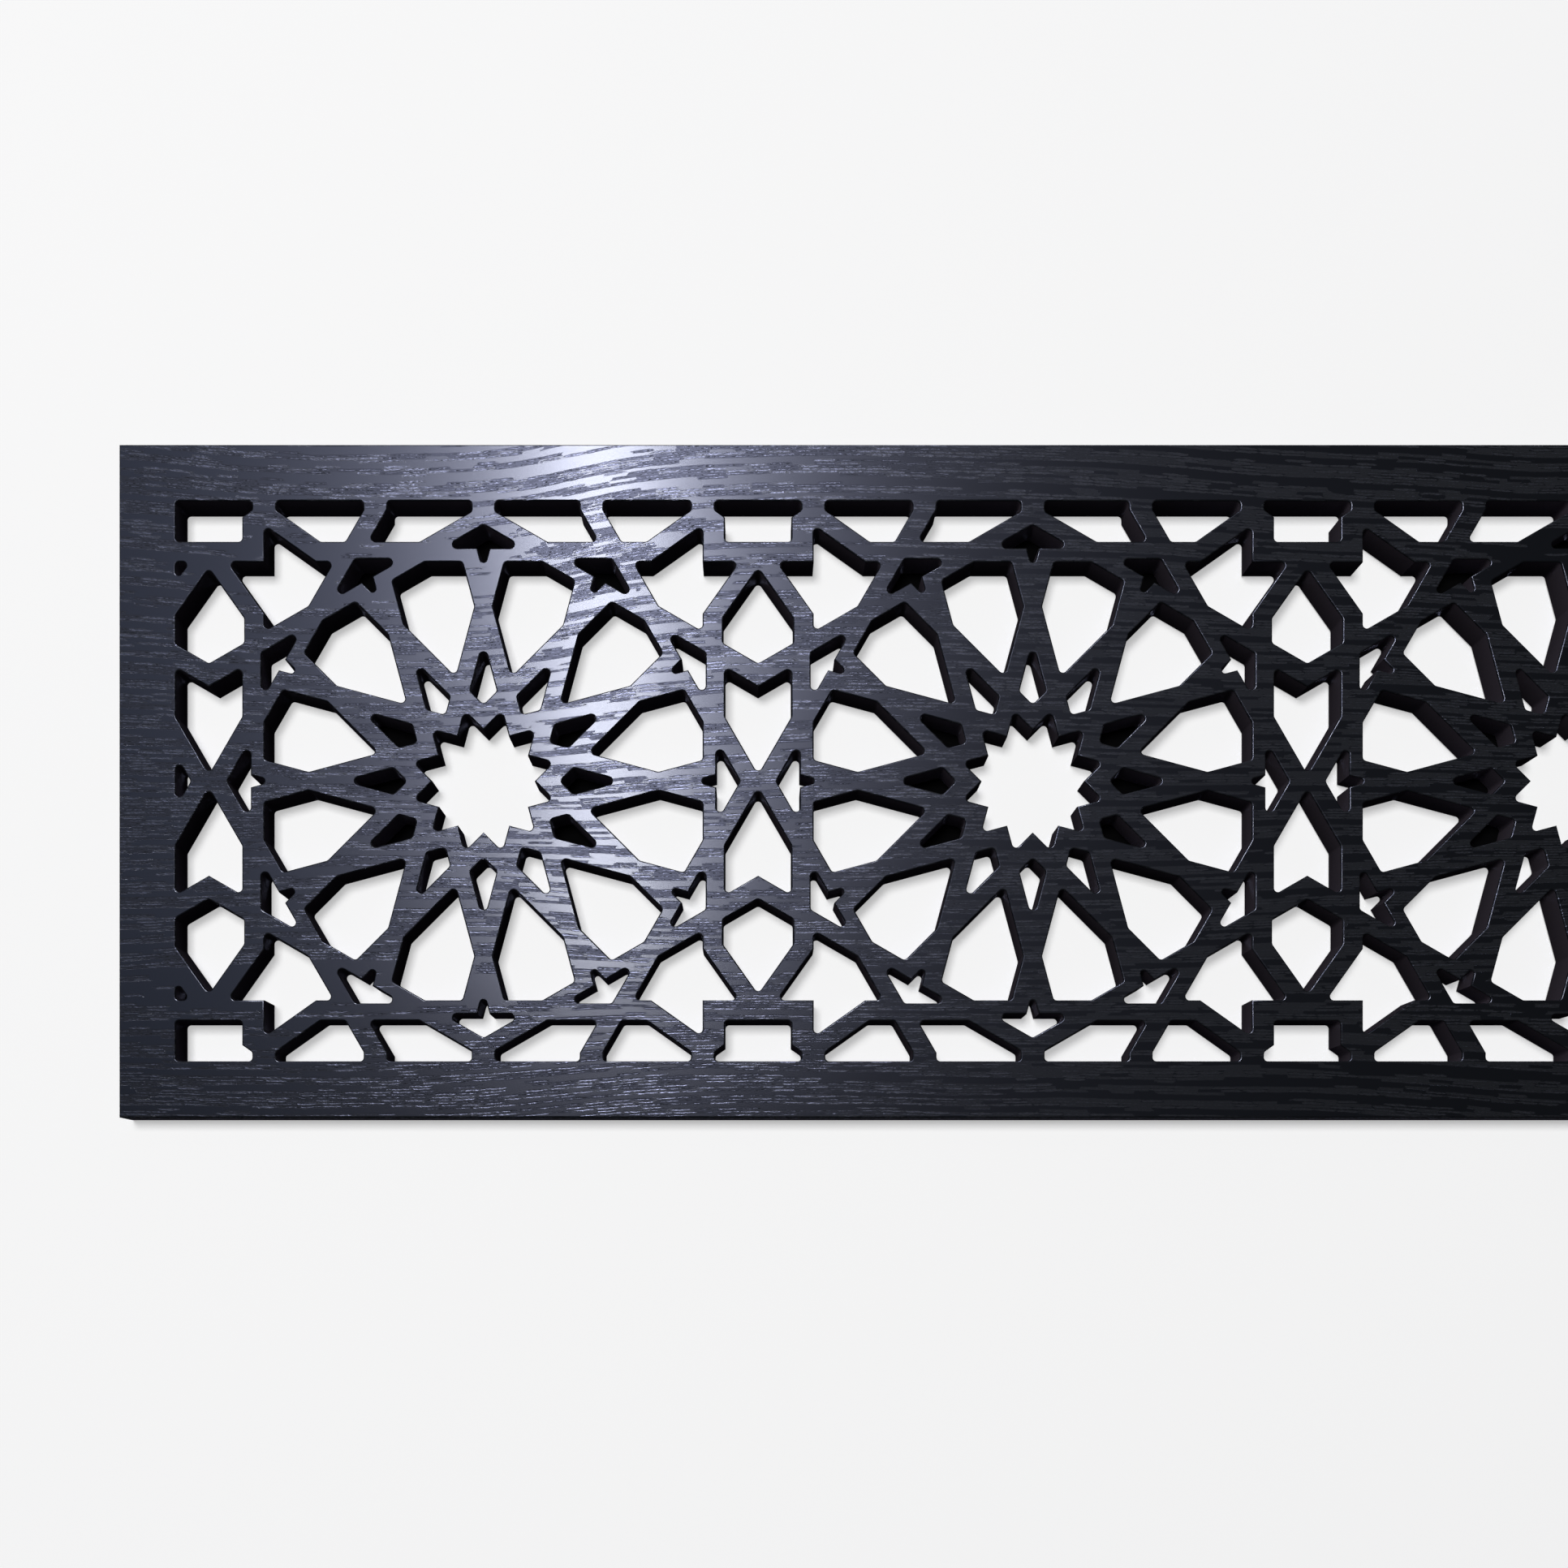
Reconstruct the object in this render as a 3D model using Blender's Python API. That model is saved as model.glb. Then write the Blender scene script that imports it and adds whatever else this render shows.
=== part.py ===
"""Trellis fence panel: one board cut right through into straps that cross in twelve-fold
rosettes, with a plain margin left all round. Metres, +Z up. The board is upright, its length
along X and its decorated face towards -Y, and the origin is in the middle of its bottom edge."""

import math

import bpy
from mathutils import Matrix, Vector
from mathutils.geometry import delaunay_2d_cdt

# The board
HEIGHT = 0.349
THICKNESS = 0.015
MARGIN = 0.0292  # plain board between the lattice and its edge
ROSETTES = 6
PITCH = 0.285  # from the middle of one rosette to the middle of the next

# The straps that the cutter leaves standing
CORE_STRAP = 0.0095  # round the middle of a rosette
RING_STRAP = 0.0106  # round its rim
LINK_STRAP = 0.0101  # from the rim out between two rosettes
STUB = 0.0124  # short uprights that tie the straps to the top and bottom margins
COLUMN_STEP = 0.001  # how much wider the ring straps are beside the arrows and end blocks

# The drawing of one rosette, each distance a share of the pitch
CORE_DISTANCE = 0.0824 * PITCH  # from the middle to the centre line of a core strap
RING_DISTANCE = 0.4174 * PITCH  # from the middle to the centre line of a ring strap
SHOULDER_DISTANCE = 0.4239 * PITCH  # to the shoulders of the small stars
SMALL_STAR_REACH = 0.4043 * PITCH  # to the two outer sides of the small stars
ROW_STUB_X = 0.1968 * PITCH  # to the stub between the rosette's axis and the column
COLUMN_STUB_X = 0.3994 * PITCH  # to the stub beside the column
LINK_SLOPE = 35.3  # of the lower link straps, in degrees

FOLDS = 12
TURN = 360 / FOLDS
NEAR = 1e-5  # a corner this close to a side of the window lies on it

CORE_IN = CORE_DISTANCE - CORE_STRAP / 2
CORE_OUT = CORE_DISTANCE + CORE_STRAP / 2
RING_IN = RING_DISTANCE - RING_STRAP / 2
RING_OUT = RING_DISTANCE + RING_STRAP / 2
COLUMN_SIDE = RING_OUT + COLUMN_STEP
WINDOW_HALF_HEIGHT = HEIGHT / 2 - MARGIN
# The end margin stands in for the ring strap of the rosette that would come next.
WINDOW_HALF_LENGTH = (ROSETTES + 1) * PITCH / 2 - COLUMN_SIDE
LENGTH = 2 * (WINDOW_HALF_LENGTH + MARGIN)

# The holes of the top and bottom rows are drawn at least this high, past every crossing of
# their straps, and the window then trims them.
ROW_TOP = max(WINDOW_HALF_HEIGHT, 0.55 * PITCH)


# A line is the direction of its normal in degrees and its distance from the rosette's middle.
# A hole is a closed run of lines, each of which meets the next in a corner of the hole.


def meet(first, second):
    """The point where two lines cross."""
    rows = [(math.cos(math.radians(line[0])), math.sin(math.radians(line[0]))) for line in (first, second)]
    return Matrix(rows).inverted() @ Vector((first[1], second[1]))


def corners(lines):
    return [meet(line, lines[(i + 1) % len(lines)]) for i, line in enumerate(lines)]


def turned(lines, angle):
    return [(normal + angle, distance) for normal, distance in lines]


def line_at(normal, point, offset=0.0):
    """The line with this normal through a point, moved along its normal by an offset."""
    direction = Vector((math.cos(math.radians(normal)), math.sin(math.radians(normal))))
    return (normal, direction.dot(point) + offset)


def across(line):
    """The line mirrored in the middle of the column, halfway to the next rosette."""
    normal, distance = line
    return (180 - normal, distance - PITCH * math.cos(math.radians(normal)))


def upright(x):
    return (0, x)


def level(y):
    return (90, y)


def core_star():
    """The twelve-pointed hole in the middle of a rosette: notches on the axes, tips between."""
    points = []
    for i in range(FOLDS):
        notch = Vector((math.sqrt(2) * CORE_IN, 0))
        tip = Vector((2 * CORE_IN, 0))
        points.append(Matrix.Rotation(math.radians(TURN * i), 2) @ notch)
        points.append(Matrix.Rotation(math.radians(TURN * (i + 0.5)), 2) @ tip)
    return points


def rosette_holes():
    """The core star, and round it twelve kites, twelve petals and twelve small stars."""
    kite = [(45, CORE_OUT), (-45, CORE_OUT), (75, CORE_IN), (-75, CORE_IN)]
    petal = [
        (60, CORE_OUT),
        (-60, CORE_OUT),
        (90, CORE_IN),
        (TURN / 2, RING_IN),
        (-TURN / 2, RING_IN),
        (-90, CORE_IN),
    ]
    small_star = [
        (75, CORE_OUT),
        (-75, CORE_OUT),
        upright(SHOULDER_DISTANCE),
        (TURN, SMALL_STAR_REACH),
        (-TURN, SMALL_STAR_REACH),
        upright(SHOULDER_DISTANCE),
    ]
    holes = [core_star()]
    for i in range(FOLDS):
        holes.append(corners(turned(kite, TURN * i)))
        holes.append(corners(turned(petal, TURN * (i + 0.5))))
        holes.append(corners(turned(small_star, TURN * i)))
    return holes


def link_straps():
    """The centre lines of the lower link strap and of the steeper one beside the column, which
    both start where core straps and ring straps cross."""
    start = RING_DISTANCE - math.sqrt(2) * CORE_DISTANCE
    low = line_at(90 + LINK_SLOPE, Vector((start, RING_DISTANCE)))
    steep = line_at(180 - LINK_SLOPE, Vector((RING_DISTANCE, start)))
    return low, steep


def beside(line, offset):
    return (line[0], line[1] + offset)


def corner_holes():
    """The holes in the upper right quarter round a rosette: the big star on the diagonal, and
    the two holes of the top row."""
    low, steep = link_straps()
    half_link, half_stub = LINK_STRAP / 2, STUB / 2
    big_star = [
        level(RING_IN),
        beside(low, -half_link),
        upright(RING_IN),
        level(RING_IN),
        beside(steep, half_link),
        upright(RING_IN),
        (60, RING_OUT),
        (30, RING_OUT),
    ]
    inner_row = [
        level(ROW_TOP),
        upright(ROW_STUB_X - half_stub),
        (30, RING_IN),
        level(RING_OUT),
        (60, RING_OUT),
        upright(half_stub),
    ]
    outer_row = [
        level(ROW_TOP),
        upright(ROW_STUB_X + half_stub),
        (30, RING_OUT),
        level(RING_OUT),
        beside(low, half_link),
        upright(COLUMN_STUB_X - half_stub),
    ]
    return [corners(lines) for lines in (big_star, inner_row, outer_row)]


def column_holes():
    """The upper holes of the column between a rosette and the next one to the right: the end
    block in the top row, the hexagon under it and the arrow that points at the middle."""
    low, steep = link_straps()
    stub_side = upright(COLUMN_STUB_X + STUB / 2)
    column_side = upright(COLUMN_SIDE)
    junction = meet(low, upright(COLUMN_STUB_X))
    shoulder = line_at(90 - LINK_SLOPE, junction, LINK_STRAP / 2)
    block = [
        stub_side,
        shoulder,
        column_side,
        level(RING_OUT),
        across(column_side),
        across(shoulder),
        across(stub_side),
        level(ROW_TOP),
    ]
    roof = beside(steep, -LINK_STRAP / 2)
    hexagon = [
        upright(RING_OUT),
        roof,
        across(roof),
        across(upright(RING_OUT)),
        across((60, RING_OUT)),
        (60, RING_OUT),
    ]
    arrow = [
        column_side,
        (60, RING_IN),
        across((60, RING_IN)),
        across(column_side),
        across((30, COLUMN_SIDE)),
        (30, COLUMN_SIDE),
    ]
    return [corners(lines) for lines in (block, hexagon, arrow)]


def mirrored(points, sideways, upside_down):
    return [Vector((-p.x if sideways else p.x, -p.y if upside_down else p.y)) for p in points]


def counterclockwise(points):
    area = sum(p.cross(points[i - 1]) for i, p in enumerate(points)) / -2
    return points if area > 0 else points[::-1]


def repeat_holes():
    """Every hole of one rosette and of the column to its right, about the rosette's middle."""
    holes = rosette_holes()
    for upside_down in (False, True):
        for points in column_holes():
            holes.append(mirrored(points, False, upside_down))
        for points in corner_holes():
            for sideways in (False, True):
                holes.append(mirrored(points, sideways, upside_down))
    return holes


def cut_off(points, outwards, limit):
    """The outline without what it has past one side of the window."""
    past = [p.dot(outwards) - limit for p in points]
    past = [0 if abs(distance) < NEAR else distance for distance in past]
    kept = []
    for i, point in enumerate(points):
        if past[i] * past[i - 1] < 0:
            share = past[i - 1] / (past[i - 1] - past[i])
            kept.append(points[i - 1].lerp(point, share))
        if past[i] <= 0:
            kept.append(point)
    return kept


def trimmed(points):
    """What an outline has inside the window."""
    for sign in (1, -1):
        points = cut_off(points, Vector((sign, 0)), WINDOW_HALF_LENGTH)
        points = cut_off(points, Vector((0, sign)), WINDOW_HALF_HEIGHT)
    return points


def lattice_outlines():
    """The corner points of every hole, about the middle of the board. One rosette is drawn
    past each end, for the tips of its stars that still show inside the window."""
    outlines = []
    holes = repeat_holes()
    for i in range(-1, ROSETTES + 1):
        shift = Vector(((i - (ROSETTES - 1) / 2) * PITCH, 0))
        for points in holes:
            inside = trimmed([p + shift for p in points])
            if len(inside) > 2:
                outlines.append(counterclockwise(inside))
    return outlines


def board_sheet():
    """The board in its middle plane: triangles over its whole outline, less those in a hole."""
    side, top = LENGTH / 2, HEIGHT / 2
    points = [Vector(p) for p in ((-side, -top), (side, -top), (side, top), (-side, top))]
    holes = []
    for outline in lattice_outlines():
        holes.append(range(len(points), len(points) + len(outline)))
        points += outline
    whole_outline = 0
    found = delaunay_2d_cdt(points, [], holes, whole_outline, 1e-7)
    corner_points, triangles, hole_of = found[0], found[2], found[5]
    solid = [triangle for triangle, inside in zip(triangles, hole_of) if not inside]
    mesh = bpy.data.meshes.new("lattice_panel")
    mesh.from_pydata([(p.x, 0, p.y + HEIGHT / 2) for p in corner_points], [], solid)
    return mesh


def moulded_board():
    material = bpy.data.materials.new("black_embossed_composite")
    material.use_nodes = True
    shader = material.node_tree.nodes["Principled BSDF"]
    shader.inputs["Base Color"].default_value = (0.02, 0.022, 0.026, 1)
    shader.inputs["Roughness"].default_value = 0.4
    shader.inputs["Metallic"].default_value = 0
    return material


def lattice_panel():
    panel = bpy.data.objects.new("lattice_panel", board_sheet())
    panel.data.materials.append(moulded_board())
    bpy.context.collection.objects.link(panel)
    thicken = panel.modifiers.new("thickness", "SOLIDIFY")
    thicken.thickness = THICKNESS
    thicken.offset = 0
    return panel


for old in list(bpy.data.objects):
    bpy.data.objects.remove(old)
lattice_panel()
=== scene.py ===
"""Trellis fence panel: the routed board with its embossed oak grain, on a plain pale stage."""

import math
from functools import partial

import bmesh
import bpy
from bpy.props import FloatProperty, FloatVectorProperty, PointerProperty
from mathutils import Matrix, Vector
from mathutils.geometry import delaunay_2d_cdt


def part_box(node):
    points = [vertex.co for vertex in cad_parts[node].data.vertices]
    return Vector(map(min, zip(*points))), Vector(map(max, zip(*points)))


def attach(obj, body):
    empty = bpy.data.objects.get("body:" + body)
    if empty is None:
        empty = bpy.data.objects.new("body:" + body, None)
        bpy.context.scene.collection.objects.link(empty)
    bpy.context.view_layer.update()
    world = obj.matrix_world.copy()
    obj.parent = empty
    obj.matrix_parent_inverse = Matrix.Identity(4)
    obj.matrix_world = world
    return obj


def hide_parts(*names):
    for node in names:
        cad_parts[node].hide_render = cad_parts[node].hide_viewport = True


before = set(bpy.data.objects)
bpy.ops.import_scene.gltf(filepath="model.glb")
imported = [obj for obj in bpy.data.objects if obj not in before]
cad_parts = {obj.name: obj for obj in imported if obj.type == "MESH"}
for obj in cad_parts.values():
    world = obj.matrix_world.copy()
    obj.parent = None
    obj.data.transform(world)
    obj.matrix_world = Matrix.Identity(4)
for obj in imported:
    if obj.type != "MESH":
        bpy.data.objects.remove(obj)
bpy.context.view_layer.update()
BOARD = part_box("lattice_panel")

bl_info = {
    "name": "Trellis Fence Panel",
    "version": (1, 0, 0),
    "blender": (4, 5, 0),
    "location": "View3D > Sidebar > Trellis",
    "description": "A routed composite board with embossed oak grain, and its stage",
    "category": "Add Mesh",
}

MM = 0.001
NEAR = 0.01 * MM  # points closer than this are one point

# The board's shape
NEARLY_STRAIGHT = math.radians(175)  # a corner this flat gets no arc
ARC_STEP = math.radians(18)  # the turn from one point of an arc to the next
ARC_SHARE = 0.49  # the most that an arc takes of a side, so that the arcs at its ends never meet
ARRIS_ANGLES = (0, 30, 60, 90)  # the points of the rounded edge, from the face to the wall
SMOOTH_UNDER = math.radians(32)
FLAT = 0.999  # the least Y of the normal of a flat face, front or back
SHEER = 0.001  # the most Y of the normal of a wall

# The figure that the embossing roller prints over and over along the board: where one turn of it
# starts and ends, and curves of the grain's climb and the roller's bite over that turn. The lean,
# a curve from the bottom of the board to its top, says how much of the climb shows there: all of
# it at 1, none of it at a half, and less than a half turns it upside down.
ROLLER = (-1.02, -0.36)
CLIMB = [(0, 0.5), (0.18, 0.25), (0.394, 0), (0.636, 0.55), (0.79, 0.6), (1, 0.5)]
BITE = [(0, 0.25), (0.1, 0.3), (0.24, 1), (0.6, 1), (0.75, 0.7), (0.88, 0.4), (1, 0.25)]
LEAN = [(0, 0.75), (0.05, 0.75), (0.28, 0.3), (0.5, 0.65), (0.75, 1), (1, 1)]
FULL_CLIMB = 30 * MM  # how far a climb of 1 lifts the grain, where all of it shows
LEVEL = 0.3  # the climb that doesn't move the grain
BEND = 20 * MM  # the slow noise moves the grain by up to this

# Noises, in waves per metre along the grain, through the board and across the grain. The Y of
# the place is already scaled by THROUGH.
THROUGH = 40
SLOW = (2.4, 1, 5)  # waves of 417 by 200 mm
WOBBLE = (16, 1, 60)  # 62 by 17 mm
JITTER = (260, 1, 420)  # 3.8 by 2.4 mm
UNEVEN = (1.6, 1, 70)  # 625 by 14 mm
PATCHY = (4, 1, 14)  # 250 by 71 mm
RAGGED = (500, 1, 1600)  # 2 by 0.6 mm

# Places in one turn of the roller, each the middle and the half width and height of an oval that
# has no depth: two hearts, where the rings close round a smooth place, and a place where the
# pores crowd.
HEARTS = (((-0.765, 0, 0.286), (0.095, 1, 0.019)), ((-0.79, 0, 0.066), (0.1, 1, 0.013)))
CROWD = ((-0.652, 0, 0.286), (0.042, 1, 0.014))
IN_HEART = -0.14  # the share of a ring that is pressed in a heart, before its noises are added
IN_RINGS = 0.56  # the same share outside the hearts
STRAY = 0.94  # a cell with a chance above this is pressed anywhere
MISSED = 0.08  # a cell whose second chance isn't above this stays smooth

# The small holes that get painted shade, by their distance from the middle of a rosette and by the
# hours at which they lie on each side of twelve o'clock
CORE_STAR_CORNERS = 24
KITE_RING = (40 * MM, 65 * MM)
KITE_HOURS = (2, 3, 4)
STAR_RING = (108 * MM, 130 * MM)
STAR_HOURS = (0, 1)
HOUR = 30  # degrees
HOUR_SLACK = 0.1  # hours

# Each lamp's width and height, its place, the point that it faces and its power in watts
LAMPS = {
    "strip": ((0.16, 2.0), (-0.892, -2.0, 1.48), (-0.65, 0, 0.25), 96),
    "side_window": ((1.4, 2.0), (-2.1, -2.1, 1.2), (-0.8, 0, 0.2), 5.5),
    "soft_box": ((1.7, 1.7), (-1.45, -5.0, 1.07), (-0.3, 0, 0.17), 150),
    "back_window": ((7.0, 1.6), (0, 4.0, 0.6), (0, 0, 0.17), 90),
}
OWN_LIGHT = 0.51  # strength of the light that the floor and the wall add
# Painted shade: dark cards behind the small holes stand in for the board's shadow that the camera would
# see there on the wall
PAINTED_SHADE_GROWTH = 1.2  # the size of a dark card against its hole's

CAMERA_PLACE = (-0.5705, -0.6865, -0.0708)
LENS_MM = 30.06
SENSOR_MM = 36
LENS_SHIFT = (0.0171, 0.2997)


def linear(code):
    """A colour written as an sRGB hex code, in the linear values that shaders use."""
    channels = [int(code[i : i + 2], 16) / 255 for i in (1, 3, 5)]
    return [c / 12.92 if c <= 0.04045 else ((c + 0.055) / 1.055) ** 2.4 for c in channels]


def length(name, description, default, least=0.0):
    """A length in metres that a user may change."""
    return FloatProperty(
        name=name, description=description, default=default, min=least, subtype="DISTANCE", unit="LENGTH"
    )


def colour(name, description, code):
    """A colour that a user may change."""
    return FloatVectorProperty(
        name=name, description=description, default=linear(code), min=0, max=1, subtype="COLOR"
    )


class BoardSettings(bpy.types.PropertyGroup):
    """Sizes and colours of the board."""

    cutter_radius: length("Cutter radius", "Half the width of the router bit", 2 * MM)
    arris: length("Arris", "Width of the rounded edge at the front of the board and its holes", 0.7 * MM)
    back_arris: length("Back arris", "Width of the eased edge at the back", 0.3 * MM)
    ring_spacing: length("Ring spacing", "From one band of pores to the next", 9 * MM, MM)
    pore_length: length("Pore length", "Length of one pressed pore", 12 * MM, MM)
    pore_pitch: length("Pore pitch", "From one pore to the next across the grain", 1.5 * MM, 0.1 * MM)
    relief: length("Relief", "Depth of the pressed grain", 0.08 * MM)
    face: colour("Face", "Colour of the pressed faces", "#121418")
    gloss: colour("Gloss", "Tint of the gloss between the pores", "#f6f3d6")
    core: colour("Core", "Colour of the routed walls", "#524b54")


class StageSettings(bpy.types.PropertyGroup):
    """Sizes and colours of the floor, the wall and the lights."""

    floor_drop: length("Floor drop", "From the bottom edge of the board down to the floor", 0.26)
    wall_gap: length("Wall gap", "From the back of the board to the wall", 0.5 * MM)
    reach: length("Reach", "Half the width of the floor and the wall", 6.0)
    paint: colour("Paint", "Colour of the paint on the floor and the wall", "#e7e7e7")
    backdrop: colour("Backdrop", "Colour of the light that the floor and the wall add", "#f6f6f6")
    # The card colour is painted shade, the board's shadow on the wall that shows through the small holes
    card: colour("Card", "Colour of the cards behind the small dark holes", "#0b0b0c")
    daylight: colour("Daylight", "Colour of the strip light and of the light behind", "#d0d6ff")
    sky: colour("Sky", "Colour of the window at the left", "#a8bdff")
    room: colour("Room", "Colour of the dim light from all round", "#27282c")


def new_material(name):
    """A material, its shader, and add_node for its tree."""
    material = bpy.data.materials.new(name)
    material.use_nodes = True
    tree = material.node_tree
    return material, tree.nodes["Principled BSDF"], partial(add_node, tree)


def add_node(tree, kind, inputs=None, **settings):
    """Adds a node with its settings. An input takes a number, the output socket of another
    node, or a node, which stands for its first output."""
    node = tree.nodes.new("ShaderNode" + kind)
    for name, value in settings.items():
        setattr(node, name, value)
    for name, value in (inputs or {}).items():
        if isinstance(value, bpy.types.Node):
            value = value.outputs[0]
        if isinstance(value, bpy.types.NodeSocket):
            tree.links.new(value, node.inputs[name])
        else:
            node.inputs[name].default_value = value
    return node


def bent_grain(add, x, depth, z):
    """The height of each place on the board, counted along the bent grain, and how deep the
    roller bites there."""
    start, end = ROLLER
    turn = add("Math", {0: x, 1: end, 2: start}, operation="WRAP")
    turn = add("Math", {0: turn, 1: -start}, operation="ADD")
    turn = add("Math", {0: turn, 1: end - start}, operation="DIVIDE")
    up = add("Math", {0: z, 1: BOARD[1].z}, operation="DIVIDE")
    curves = []
    for place, points in ((turn, CLIMB), (turn, BITE), (up, LEAN)):
        node = add("FloatCurve", {"Value": place})
        curve = node.mapping.curves[0]
        curve.points[0].location = points[0]
        curve.points[1].location = points[-1]
        for point in points[1:-1]:
            curve.points.new(*point)
        node.mapping.update()
        curves.append(node)
    climb, bite, lean = curves

    lean = add("Math", {0: lean, 1: 2 * FULL_CLIMB, 2: -FULL_CLIMB}, operation="MULTIPLY_ADD")
    climb = add("Math", {0: climb, 1: LEVEL}, operation="SUBTRACT")
    climb = add("Math", {0: climb, 1: lean}, operation="MULTIPLY")
    waves = add("CombineXYZ", {0: x, 1: depth, 2: z})
    waves = add("VectorMath", {0: waves, 1: SLOW}, operation="MULTIPLY")
    slow = add("TexNoise", {"Vector": waves, "Scale": 1, "Detail": 1.5, "Roughness": 0.45})
    level = add("Math", {0: z, 1: climb}, operation="SUBTRACT")
    return add("Math", {0: slow, 1: BEND, 2: level}, operation="MULTIPLY_ADD"), bite


def pressed_cells(add, board, x, depth, z, bent):
    """Rows of cells that follow the bent grain, each row broken at places of its own, as bricks
    are. Gives the place across and along a cell, from 0 to 1, the cell's own random colour, and
    1 in the cells that are pressed."""
    in_grain = add("CombineXYZ", {0: x, 1: depth, 2: bent})
    waves = add("VectorMath", {0: in_grain, 1: WOBBLE}, operation="MULTIPLY")
    wobble = add("TexNoise", {"Vector": waves, "Scale": 1, "Detail": 2, "Roughness": 0.45})
    waves = add("VectorMath", {0: in_grain, 1: JITTER}, operation="MULTIPLY")
    jitter = add("TexNoise", {"Vector": waves, "Scale": 1, "Detail": 3, "Roughness": 0.45})
    place = add("Math", {0: bent, 1: board.pore_pitch}, operation="DIVIDE")
    place = add("Math", {0: wobble, 1: 1.9, 2: place}, operation="MULTIPLY_ADD")
    place = add("Math", {0: jitter, 1: 0.4, 2: place}, operation="MULTIPLY_ADD")
    row = add("Math", {0: place}, operation="FLOOR")
    across = add("Math", {0: place}, operation="FRACT")

    most_shift = 40
    shift = add("TexWhiteNoise", {"W": row}, noise_dimensions="1D")
    shift = add("Math", {0: shift, 1: most_shift}, operation="MULTIPLY")
    place = add("Math", {0: jitter, 1: 0.8, 2: shift}, operation="MULTIPLY_ADD")
    place = add("Math", {0: x, 1: 1 / board.pore_length, 2: place}, operation="MULTIPLY_ADD")
    cell = add("Math", {0: place}, operation="FLOOR")
    along = add("Math", {0: place}, operation="FRACT")
    number = add("CombineXYZ", {0: cell, 1: row})
    chance = add("TexWhiteNoise", {"Vector": number}, noise_dimensions="2D").outputs["Color"]
    chance = add("SeparateColor", {0: chance}).outputs

    # A cell is pressed or smooth as a whole, by the growth ring that it starts in.
    cell_x = add("Math", {0: cell, 1: shift}, operation="SUBTRACT")
    cell_x = add("Math", {0: cell_x, 1: board.pore_length}, operation="MULTIPLY")
    cell_z = add("Math", {0: row, 1: board.pore_pitch}, operation="MULTIPLY")
    start = add("CombineXYZ", {0: cell_x, 1: depth, 2: cell_z})
    waves = add("VectorMath", {0: start, 1: UNEVEN}, operation="MULTIPLY")
    uneven = add("TexNoise", {"Vector": waves, "Scale": 1, "Detail": 1, "Roughness": 0.45})
    waves = add("VectorMath", {0: start, 1: PATCHY}, operation="MULTIPLY")
    patchy = add("TexNoise", {"Vector": waves, "Scale": 1, "Detail": 1, "Roughness": 0.45})
    ring = add("Math", {0: cell_z, 1: board.ring_spacing}, operation="DIVIDE")
    ring = add("Math", {0: uneven, 1: 1.6, 2: ring}, operation="MULTIPLY_ADD")
    ring = add("Math", {0: ring}, operation="FRACT")

    # How far into each oval the cell lies: 0 in its middle and 1 on its rim
    figure_x = add("Math", {0: cell_x, 1: ROLLER[1], 2: ROLLER[0]}, operation="WRAP")
    figure_z = add("Math", {0: across, 1: -board.pore_pitch, 2: z}, operation="MULTIPLY_ADD")
    figure = add("CombineXYZ", {0: figure_x, 2: figure_z})
    ovals = []
    for middle, halves in (*HEARTS, CROWD):
        away = add("VectorMath", {0: figure, 1: middle}, operation="SUBTRACT")
        away = add("VectorMath", {0: away, 1: halves}, operation="DIVIDE")
        ovals.append(add("VectorMath", {0: away, 1: away}, operation="DOT_PRODUCT").outputs["Value"])
    heart = add("Math", {0: ovals[0], 1: ovals[1]}, operation="MINIMUM")
    share = add("MapRange", {"Value": heart, "From Min": 0.7, "From Max": 1.5,
                             "To Min": IN_HEART, "To Max": IN_RINGS})
    patchy = add("Math", {0: patchy, 1: 0.5}, operation="SUBTRACT")
    share = add("Math", {0: patchy, 1: 0.7, 2: share}, operation="MULTIPLY_ADD")
    share = add("Math", {0: chance["Red"], 1: 0.2, 2: share}, operation="MULTIPLY_ADD")

    pressed = add("Math", {0: ring, 1: share}, operation="LESS_THAN")
    crowded = add("Math", {0: ovals[2], 1: 1}, operation="LESS_THAN")
    pressed = add("Math", {0: pressed, 1: crowded}, operation="MAXIMUM")
    stray = add("Math", {0: chance["Red"], 1: STRAY}, operation="GREATER_THAN")
    pressed = add("Math", {0: pressed, 1: stray}, operation="MAXIMUM")
    kept = add("Math", {0: chance["Green"], 1: MISSED}, operation="GREATER_THAN")
    pressed = add("Math", {0: pressed, 1: kept}, operation="MULTIPLY")
    return across, along, chance, pressed


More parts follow.
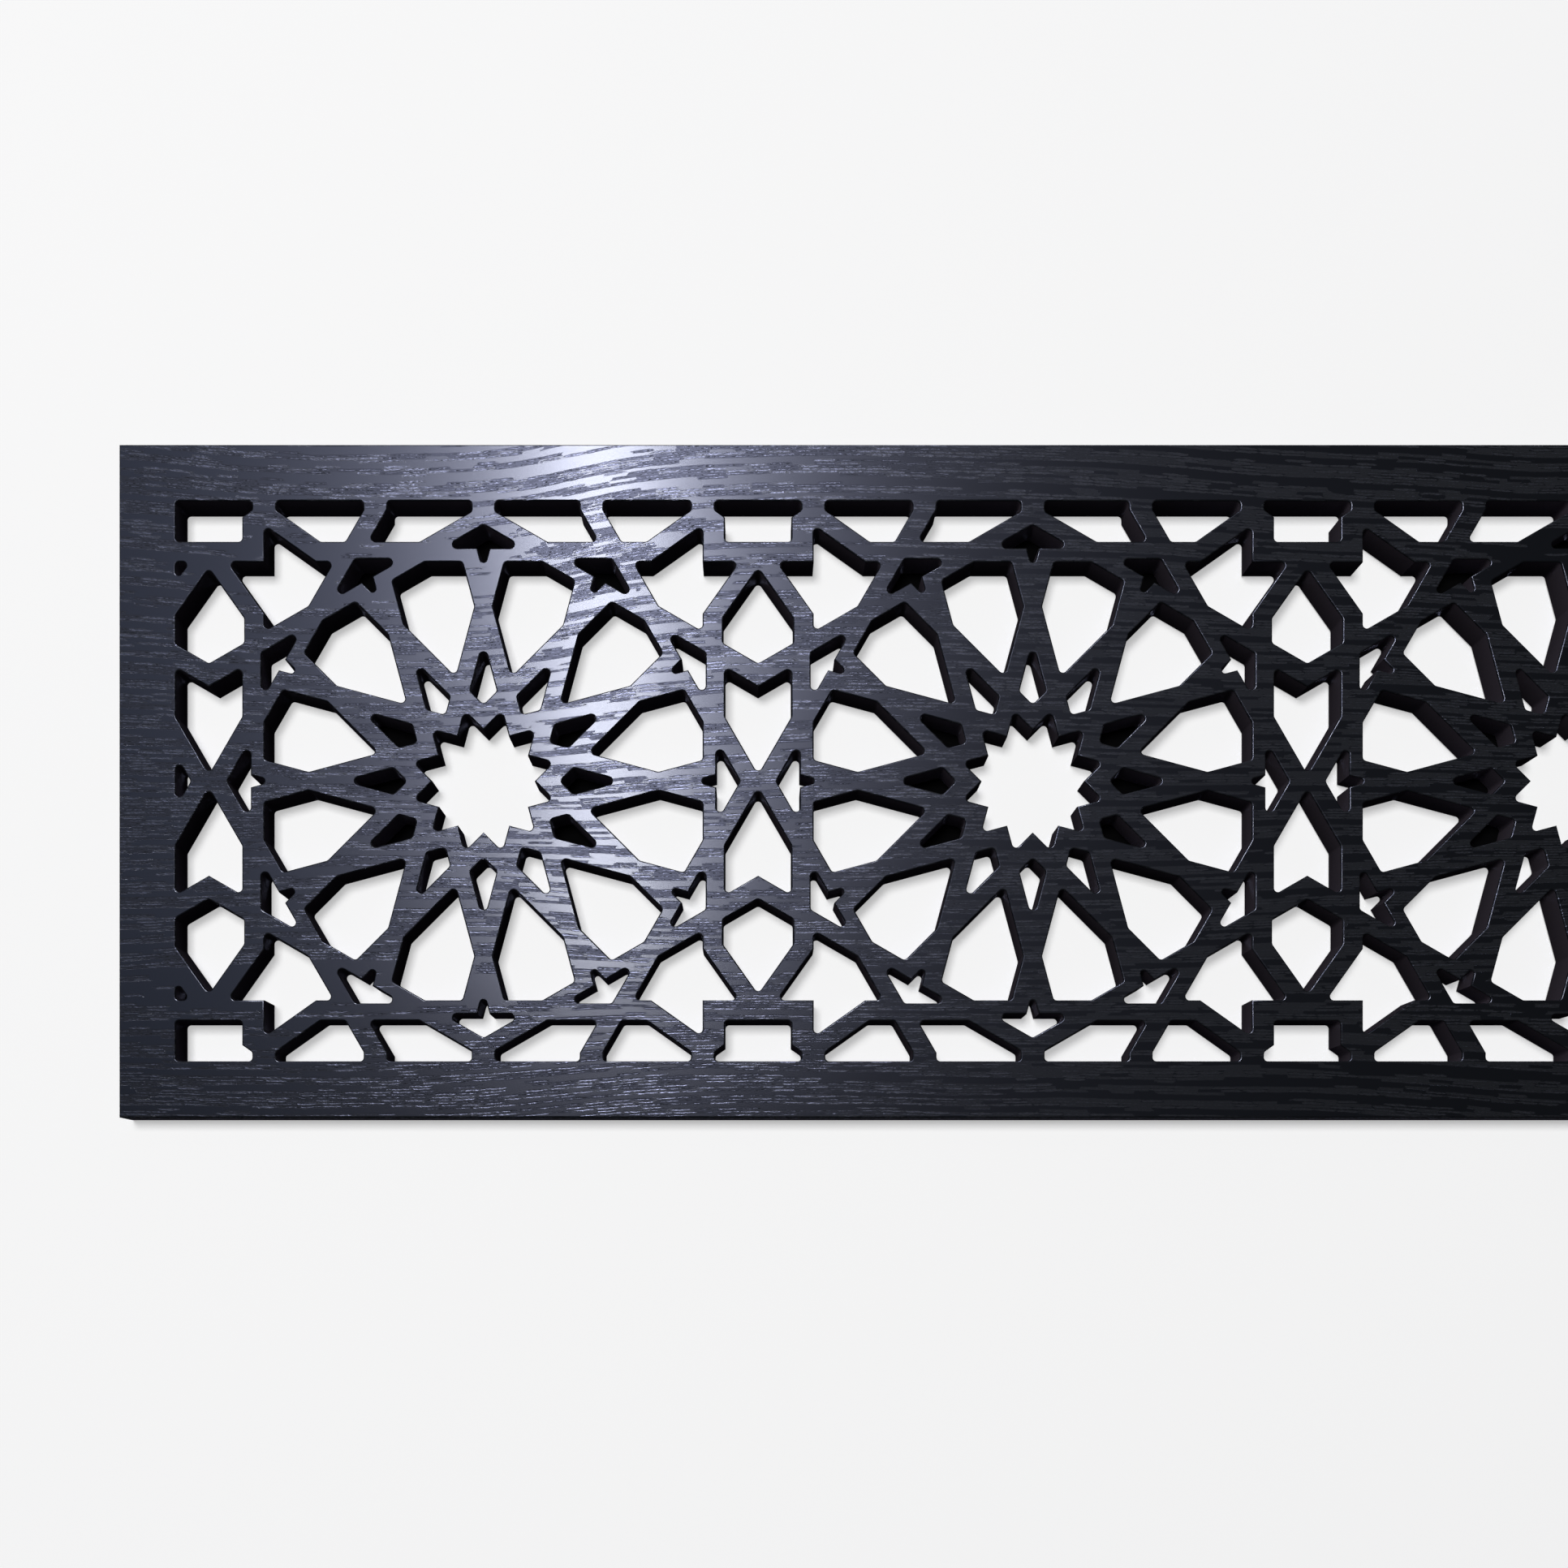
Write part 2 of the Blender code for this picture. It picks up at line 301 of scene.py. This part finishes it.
def embossed_face(board):
    """Wood-plastic composite, hot-pressed with an oak grain: bands of short pores that scatter
    light lie between smooth, half-glossy bands that mirror a lamp as bright streaks."""
    material, shader, add = new_material("embossed_wood_plastic_composite")
    place = add("TexCoord").outputs["Object"]
    place = add("SeparateXYZ", {0: place}).outputs
    x, z = place["X"], place["Z"]
    depth = add("Math", {0: place["Y"], 1: THROUGH}, operation="MULTIPLY")
    bent, bite = bent_grain(add, x, depth, z)
    across, along, chance, pressed = pressed_cells(add, board, x, depth, z, bent)

    # One pore lies along each cell. The rim grows from the pore's middle line outwards and
    # towards its ends, ragged, and more in some cells than in others.
    waves = add("CombineXYZ", {0: x, 1: depth, 2: bent})
    waves = add("VectorMath", {0: waves, 1: RAGGED}, operation="MULTIPLY")
    ragged = add("TexNoise", {"Vector": waves, "Scale": 1, "Detail": 2, "Roughness": 0.6})
    end = add("Math", {0: along, 1: 2, 2: -1}, operation="MULTIPLY_ADD")
    end = add("Math", {0: end}, operation="ABSOLUTE")
    end = add("Math", {0: end, 1: 5}, operation="POWER")
    rim = add("Math", {0: across, 1: 0.5}, operation="SUBTRACT")
    rim = add("Math", {0: rim}, operation="ABSOLUTE")
    rim = add("Math", {0: end, 1: 0.35, 2: rim}, operation="MULTIPLY_ADD")
    rim = add("Math", {0: ragged, 1: 0.5, 2: rim}, operation="MULTIPLY_ADD")
    rim = add("Math", {0: chance["Blue"], 1: 0.3, 2: rim}, operation="MULTIPLY_ADD")

    # The relief: the pressed cells lie lower than the smooth face, and the pore lowest.
    texture = add("MapRange", {"Value": rim, "From Min": 0.26, "From Max": 0.6},
                  interpolation_type="SMOOTHSTEP")
    texture = add("Math", {0: ragged, 1: 0.5, 2: texture}, operation="MULTIPLY_ADD")
    texture = add("Math", {0: chance["Blue"], 1: -0.3, 2: texture}, operation="MULTIPLY_ADD")
    deep = add("Math", {0: pressed, 1: bite}, operation="MULTIPLY")
    height = add("Math", {0: texture, 1: 1.3}, operation="SUBTRACT")
    height = add("Math", {0: height, 1: deep}, operation="MULTIPLY")
    tree = material.node_tree
    for socket, depth_share in (("Normal", 1), ("Coat Normal", 0.8)):
        bump = add("Bump", {"Height": height, "Strength": 1, "Distance": board.relief * depth_share})
        tree.links.new(bump.outputs[0], shader.inputs[socket])

    # A satin bloom lies over the whole face, most of it specks in the pores and least of it on
    # their rims, so that the pores look lighter away from a lamp's reflection.
    bed = add("MapRange", {"Value": rim, "From Min": 0.44, "From Max": 0.8, "To Min": 1, "To Max": 0},
              interpolation_type="SMOOTHSTEP")
    pore = add("Math", {0: bed, 1: deep}, operation="MULTIPLY")
    speck = add("TexNoise", {"Vector": waves, "Scale": 1.7, "Detail": 2, "Roughness": 0.7})
    speck = add("MapRange", {"Value": speck, "From Min": 0.35, "From Max": 0.65, "To Max": 1.6})
    speck = add("Math", {0: pore, 1: speck}, operation="MULTIPLY")
    outline = add("Math", {0: 1, 1: bed}, operation="SUBTRACT")
    outline = add("Math", {0: pore, 1: outline}, operation="MULTIPLY")
    bloom = add("Math", {0: speck, 1: 1.4, 2: 0.46}, operation="MULTIPLY_ADD")
    bloom = add("Math", {0: outline, 1: -2.8, 2: bloom}, operation="MULTIPLY_ADD")
    bloom = add("Math", {0: bloom, 1: 0}, operation="MAXIMUM")
    tree.links.new(bloom.outputs[0], shader.inputs["Coat Weight"])
    shader.inputs["Coat Roughness"].default_value = 0.32

    # Under the bloom, the hot roller leaves the smooth bands glossy. The pores are dull, and so
    # is the whole of most pressed cells, so that they look darker in a lamp's reflection.
    dull = add("Math", {0: chance["Blue"], 1: 0.4}, operation="GREATER_THAN")
    dull = add("Math", {0: bed, 1: dull}, operation="MAXIMUM")
    dull = add("Math", {0: dull, 1: pressed}, operation="MULTIPLY")
    rough = add("Math", {0: dull, 1: 0.7, 2: 0.195}, operation="MULTIPLY_ADD")
    tree.links.new(rough.outputs[0], shader.inputs["Roughness"])
    shader.inputs["Base Color"].default_value = (*board.face, 1)
    shader.inputs["IOR"].default_value = 1.5
    shader.inputs["Specular IOR Level"].default_value = 0.31
    shader.inputs["Specular Tint"].default_value = (*board.gloss, 1)
    return material


def routed_core(board):
    """The same composite where the router bit cut it: matt, nearly black, and faintly ribbed
    through the thickness by the turning bit, with a rib every millimetre or so."""
    material, shader, add = new_material("routed_wood_plastic_composite")
    place = add("TexCoord").outputs["Object"]
    ribs = add("Mapping", {"Vector": place, "Scale": (900, 60, 900)})
    ribs = add("TexNoise", {"Vector": ribs, "Scale": 1, "Detail": 2})
    bump = add("Bump", {"Height": ribs, "Distance": 0.05 * MM})
    rough = add("MapRange", {"Value": ribs, "To Min": 0.36, "To Max": 0.5})
    material.node_tree.links.new(bump.outputs[0], shader.inputs["Normal"])
    material.node_tree.links.new(rough.outputs[0], shader.inputs["Roughness"])
    shader.inputs["Base Color"].default_value = (*board.core, 1)
    shader.inputs["IOR"].default_value = 1.45
    return material


def deselect_everything():
    """Leaves edit mode and selects nothing."""
    if bpy.context.mode != "OBJECT":
        bpy.ops.object.mode_set(mode="OBJECT")
    bpy.ops.object.select_all(action="DESELECT")


def work_on(obj):
    """Makes this the only selected and the active object."""
    deselect_everything()
    obj.select_set(True)
    bpy.context.view_layer.objects.active = obj


def front_outlines(node):
    """The closed outlines on the front of a CAD node, as points in the plane of the face. They
    are read from a merged copy of its mesh, which is deleted again."""
    copy = bpy.data.objects.new("outlines", node.data.copy())
    bpy.context.collection.objects.link(copy)
    work_on(copy)
    bpy.ops.object.mode_set(mode="EDIT")
    bpy.ops.mesh.select_all(action="SELECT")
    bpy.ops.mesh.remove_doubles(threshold=NEAR)
    mesh = bmesh.from_edit_mesh(copy.data)
    # The faces are the keys of a dict, because a set gives them in another order on each run.
    front = dict.fromkeys(face for face in mesh.faces if face.normal.y < -FLAT)
    follows = {}
    for face in front:
        for loop in face.loops:
            if not any(other in front for other in loop.edge.link_faces if other is not face):
                follows[loop.vert.index] = (loop.link_loop_next.vert.index, Vector(loop.vert.co.xz))
    outlines = []
    while follows:
        start = next(iter(follows))
        outline = []
        while start in follows:
            start, point = follows.pop(start)
            outline.append(point)
        outlines.append(outline)
    bpy.ops.object.mode_set(mode="OBJECT")
    bpy.ops.object.delete()
    return outlines


def widest(outlines):
    """The outline of the board itself."""
    return max(outlines, key=lambda o: max(p.x for p in o) - min(p.x for p in o))


def middle_of(outline):
    """The mean of an outline's points."""
    return sum(outline, Vector((0, 0))) / len(outline)


def turned_left(points):
    """The outline counterclockwise."""
    area = sum(points[i - 1].cross(p) for i, p in enumerate(points))
    return points if area > 0 else points[::-1]


def rounded(points, radius):
    """A hole's outline as a round bit leaves it: an arc in each corner that points out of the
    hole, and a sharp corner where the board points into it."""
    outline = []
    for i, corner in enumerate(points):
        before, after = points[i - 1] - corner, points[(i + 1) % len(points)] - corner
        room = ARC_SHARE * min(before.length, after.length)
        before, after = before.normalized(), after.normalized()
        angle = before.angle(after)
        if before.cross(after) > 0 or angle > NEARLY_STRAIGHT:
            outline.append(corner)
            continue
        tangent = min(radius / math.tan(angle / 2), room)
        bow = tangent * math.tan(angle / 2)
        middle = corner + (before + after).normalized() * (bow / math.sin(angle / 2))
        start = corner + before * tangent - middle
        turn = math.pi - angle
        count = max(2, round(turn / ARC_STEP))
        for j in range(count + 1):
            cos, sin = math.cos(turn * j / count), math.sin(turn * j / count)
            outline.append(middle + Vector((start.x * cos - start.y * sin, start.x * sin + start.y * cos)))
    return outline


def moved_out(outline, distance):
    """A counterclockwise outline with each of its sides moved outwards by the same distance."""
    moved = []
    for i, corner in enumerate(outline):
        before = (corner - outline[i - 1]).normalized()
        after = (outline[(i + 1) % len(outline)] - corner).normalized()
        both = Vector((before.y + after.y, -before.x - after.x))
        moved.append(corner + both * (distance / (1 + before.dot(after))))
    return moved


def flat_face(rims, inset):
    """The points and triangles of the flat face that is left inside the eased edges."""
    points = []
    holes = []
    for outline, side in rims:
        if side > 0:
            holes.append(list(range(len(points), len(points) + len(outline))))
        points += moved_out(outline, side * inset)
    whole_outline = 0
    merged_within = 1e-7
    found = delaunay_2d_cdt(points, [], holes, whole_outline, merged_within)
    corners, triangles, hole_of = found[0], found[2], found[5]
    return corners, [triangle for triangle, inside in zip(triangles, hole_of) if not inside]


def board_mesh(name, outlines, board):
    """The board's skin: a flat face on each side, and round every hole and round the board the
    rounded edge at the front, the wall, and the smaller eased edge at the back. The edges are
    drawn ring by ring, because a bevel folds over in the long thin triangles of the straps."""
    outlines = [turned_left(o) for o in outlines]
    outer = widest(outlines)
    rims = [(outer, -1)]
    rims += [(rounded(o, board.cutter_radius), 1) for o in outlines if o is not outer]
    front, back = BOARD[0].y, BOARD[1].y
    profile = []
    for angle in ARRIS_ANGLES:
        sin, cos = math.sin(math.radians(angle)), math.cos(math.radians(angle))
        profile.append((board.arris * (1 - sin), front + board.arris * (1 - cos)))
    profile += [(0, back - board.back_arris), (board.back_arris, back)]

    skin = bmesh.new()
    for outline, side in rims:
        rings = []
        for inset, y in profile:
            rings.append([skin.verts.new((p.x, y, p.y)) for p in moved_out(outline, side * inset)])
        for ring, following in zip(rings, rings[1:]):
            for i in range(len(outline)):
                skin.faces.new((ring[i - 1], ring[i], following[i], following[i - 1]))
    for inset, y in (profile[0], profile[-1]):
        points, triangles = flat_face(rims, inset)
        corners = [skin.verts.new((p.x, y, p.y)) for p in points]
        for triangle in triangles:
            skin.faces.new([corners[i] for i in triangle])
    mesh = bpy.data.meshes.new(name)
    skin.to_mesh(mesh)
    skin.free()
    return mesh


class TRELLIS_OT_board(bpy.types.Operator):
    """Routes the board: rounds the holes, gives it its thickness and its sanded edges"""

    bl_idname = "trellis.board"
    bl_label = "Routed Board"

    def execute(self, context):
        board = context.scene.trellis_board
        node = bpy.data.objects["lattice_panel"]
        mesh = board_mesh("routed_board", front_outlines(node), board)
        panel = bpy.data.objects.new("routed_board", mesh)
        context.collection.objects.link(panel)
        work_on(panel)
        bpy.ops.object.mode_set(mode="EDIT")
        bpy.ops.mesh.select_all(action="SELECT")
        bpy.ops.mesh.remove_doubles(threshold=NEAR)
        bpy.ops.mesh.normals_make_consistent(inside=False)
        skin = bmesh.from_edit_mesh(mesh)
        if not all(edge.is_manifold for edge in skin.edges):
            raise RuntimeError("the skin of the board isn't closed")
        bpy.ops.object.mode_set(mode="OBJECT")
        bpy.ops.object.shade_smooth_by_angle(angle=SMOOTH_UNDER)
        face_slot, core_slot = 0, 1
        for face in mesh.polygons:
            face.use_smooth = abs(face.normal.y) < FLAT
            face.material_index = core_slot if abs(face.normal.y) < SHEER else face_slot
        panel.data.materials.append(embossed_face(board))
        panel.data.materials.append(routed_core(board))
        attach(panel, "root")
        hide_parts("lattice_panel")
        return {"FINISHED"}


def painted_shade_holes(outlines):
    """The small holes that look dark from the camera and get painted shade, cards of dark colour
    behind them: the kites on the left and right of each rosette's core star, and the three small
    stars over its top."""
    centres = [middle_of(o) for o in outlines if len(o) == CORE_STAR_CORNERS]
    found = []
    for outline in outlines:
        middle = middle_of(outline)
        away = min((middle - centre for centre in centres), key=lambda gap: gap.length)
        hour = math.degrees(math.atan2(away.x, away.y)) / HOUR
        if abs(hour - round(hour)) > HOUR_SLACK:
            continue
        for ring, hours in ((KITE_RING, KITE_HOURS), (STAR_RING, STAR_HOURS)):
            if ring[0] < away.length < ring[1] and abs(round(hour)) in hours:
                found.append(outline)
    return found


def cards_behind(name, outlines, growth, y):
    """Upright cards, one behind each hole, each the hole's shape times its growth."""
    points, faces = [], []
    for outline in outlines:
        middle = middle_of(outline)
        corners = [middle + (p - middle) * growth for p in turned_left(outline)]
        faces.append(range(len(points), len(points) + len(corners)))
        points += [(p.x, y, p.y) for p in corners]
    mesh = bpy.data.meshes.new(name)
    mesh.from_pydata(points, [], faces)
    cards = bpy.data.objects.new(name, mesh)
    bpy.context.collection.objects.link(cards)
    return cards


def one_sided(name, paint, glow=(0, 0, 0), own_light=0.0):
    """Matt paint that is seen from the front only. Part of its brightness may be its own, so
    that it stays even and the board's shadows on it stay soft."""
    material, shader, add = new_material(name)
    shader.inputs["Base Color"].default_value = (*paint, 1)
    shader.inputs["Roughness"].default_value = 0.9
    shader.inputs["Specular IOR Level"].default_value = 0
    shader.inputs["Emission Color"].default_value = (*glow, 1)
    shader.inputs["Emission Strength"].default_value = own_light
    behind = add("NewGeometry").outputs["Backfacing"]
    clear = add("BsdfTransparent")
    mix = add("MixShader", {0: behind, 1: shader, 2: clear})
    output = material.node_tree.nodes["Material Output"]
    material.node_tree.links.new(mix.outputs[0], output.inputs["Surface"])
    return material


def area_light(name, tint):
    """One of the lamps, in this colour."""
    size, place, target, power = LAMPS[name]
    lamp = bpy.data.lights.new(name, "AREA")
    lamp.shape = "RECTANGLE"
    lamp.size, lamp.size_y = size
    lamp.energy = power
    lamp.color = tint
    light = bpy.data.objects.new(name, lamp)
    light.location = place
    light.rotation_euler = (Vector(target) - Vector(place)).to_track_quat("-Z", "Y").to_euler()
    light.visible_camera = False
    bpy.context.collection.objects.link(light)
    return light


class TRELLIS_OT_stage(bpy.types.Operator):
    """Sets up the floor, the wall and the lights"""

    bl_idname = "trellis.stage"
    bl_label = "Stage"

    def execute(self, context):
        stage = context.scene.trellis_stage
        back = BOARD[1].y
        floor_z = BOARD[0].z - stage.floor_drop
        wall_y = back + stage.wall_gap
        width = 2 * stage.reach
        deselect_everything()
        bpy.ops.mesh.primitive_plane_add(size=width, location=(0, 0, floor_z))
        floor = context.active_object
        floor.name = "floor"
        bpy.ops.mesh.primitive_plane_add(
            size=width, location=(0, wall_y, floor_z + stage.reach), rotation=(math.pi / 2, 0, 0)
        )
        wall = context.active_object
        wall.name = "wall"
        for surface in (floor, wall):
            paint = one_sided(f"pale_{surface.name}_paint", stage.paint, stage.backdrop, OWN_LIGHT)
            surface.data.materials.append(paint)

        outlines = front_outlines(bpy.data.objects["lattice_panel"])
        # Painted shade: dark cards between the board and the evenly lit wall darken what the small holes
        # show, where the camera would see the wall in the board's shadow
        cards = cards_behind("painted_shade_cards", painted_shade_holes(outlines), PAINTED_SHADE_GROWTH, back + stage.wall_gap / 2)
        cards.data.materials.append(one_sided("painted_shade_card", stage.card))
        # The light behind the wall passes it to reach the back of the board, and black cards
        # that the wall hides keep it out of the holes.
        holes = [o for o in outlines if o is not widest(outlines)]
        shades = cards_behind("hole_shades", holes, 1, wall_y + stage.wall_gap / 5)
        shades.data.materials.append(one_sided("black_card", linear("#000000")))
        for surface in (floor, wall, cards):
            surface.visible_glossy = False
            surface.visible_diffuse = False
        for surface in (wall, cards):
            surface.visible_shadow = False

        # The strip and the window at the left make the reflections on the face, and the soft
        # box lights everything else.
        area_light("strip", stage.daylight).visible_diffuse = False
        area_light("side_window", stage.sky).visible_diffuse = False
        area_light("soft_box", (1, 1, 1)).visible_glossy = False
        area_light("back_window", stage.daylight)
        world = bpy.data.worlds.new("dim_room")
        world.use_nodes = True
        world.node_tree.nodes["Background"].inputs["Color"].default_value = (*stage.room, 1)
        context.scene.world = world
        context.scene.view_settings.view_transform = "Standard"
        return {"FINISHED"}


class TRELLIS_OT_camera(bpy.types.Operator):
    """Sets up the camera square to the board, below its bottom edge and near its left end"""

    bl_idname = "trellis.camera"
    bl_label = "Camera"

    def execute(self, context):
        lens = bpy.data.cameras.new("camera")
        lens.lens = LENS_MM
        lens.sensor_width = SENSOR_MM
        lens.shift_x, lens.shift_y = LENS_SHIFT
        camera = bpy.data.objects.new("camera", lens)
        camera.location = CAMERA_PLACE
        camera.rotation_euler = (math.pi / 2, 0, 0)
        context.collection.objects.link(camera)
        context.scene.camera = camera
        return {"FINISHED"}


class TRELLIS_PT_sidebar(bpy.types.Panel):
    """Lists the settings of the board and the stage, and the steps that make them"""

    bl_label = "Trellis Fence Panel"
    bl_space_type = "VIEW_3D"
    bl_region_type = "UI"
    bl_category = "Trellis"

    def draw(self, context):
        for settings, steps in (
            (context.scene.trellis_board, ["trellis.board"]),
            (context.scene.trellis_stage, ["trellis.stage", "trellis.camera"]),
        ):
            box = self.layout.box()
            for name in settings.__annotations__:
                box.prop(settings, name)
            for step in steps:
                box.operator(step)


CLASSES = (
    BoardSettings,
    StageSettings,
    TRELLIS_OT_board,
    TRELLIS_OT_stage,
    TRELLIS_OT_camera,
    TRELLIS_PT_sidebar,
)


def register():
    for cls in CLASSES:
        bpy.utils.register_class(cls)
    bpy.types.Scene.trellis_board = PointerProperty(type=BoardSettings)
    bpy.types.Scene.trellis_stage = PointerProperty(type=StageSettings)


def unregister():
    del bpy.types.Scene.trellis_stage
    del bpy.types.Scene.trellis_board
    for cls in reversed(CLASSES):
        bpy.utils.unregister_class(cls)


def main():
    register()
    bpy.ops.trellis.camera()
    bpy.ops.trellis.board()
    bpy.ops.trellis.stage()


if __name__ == "__main__":
    main()
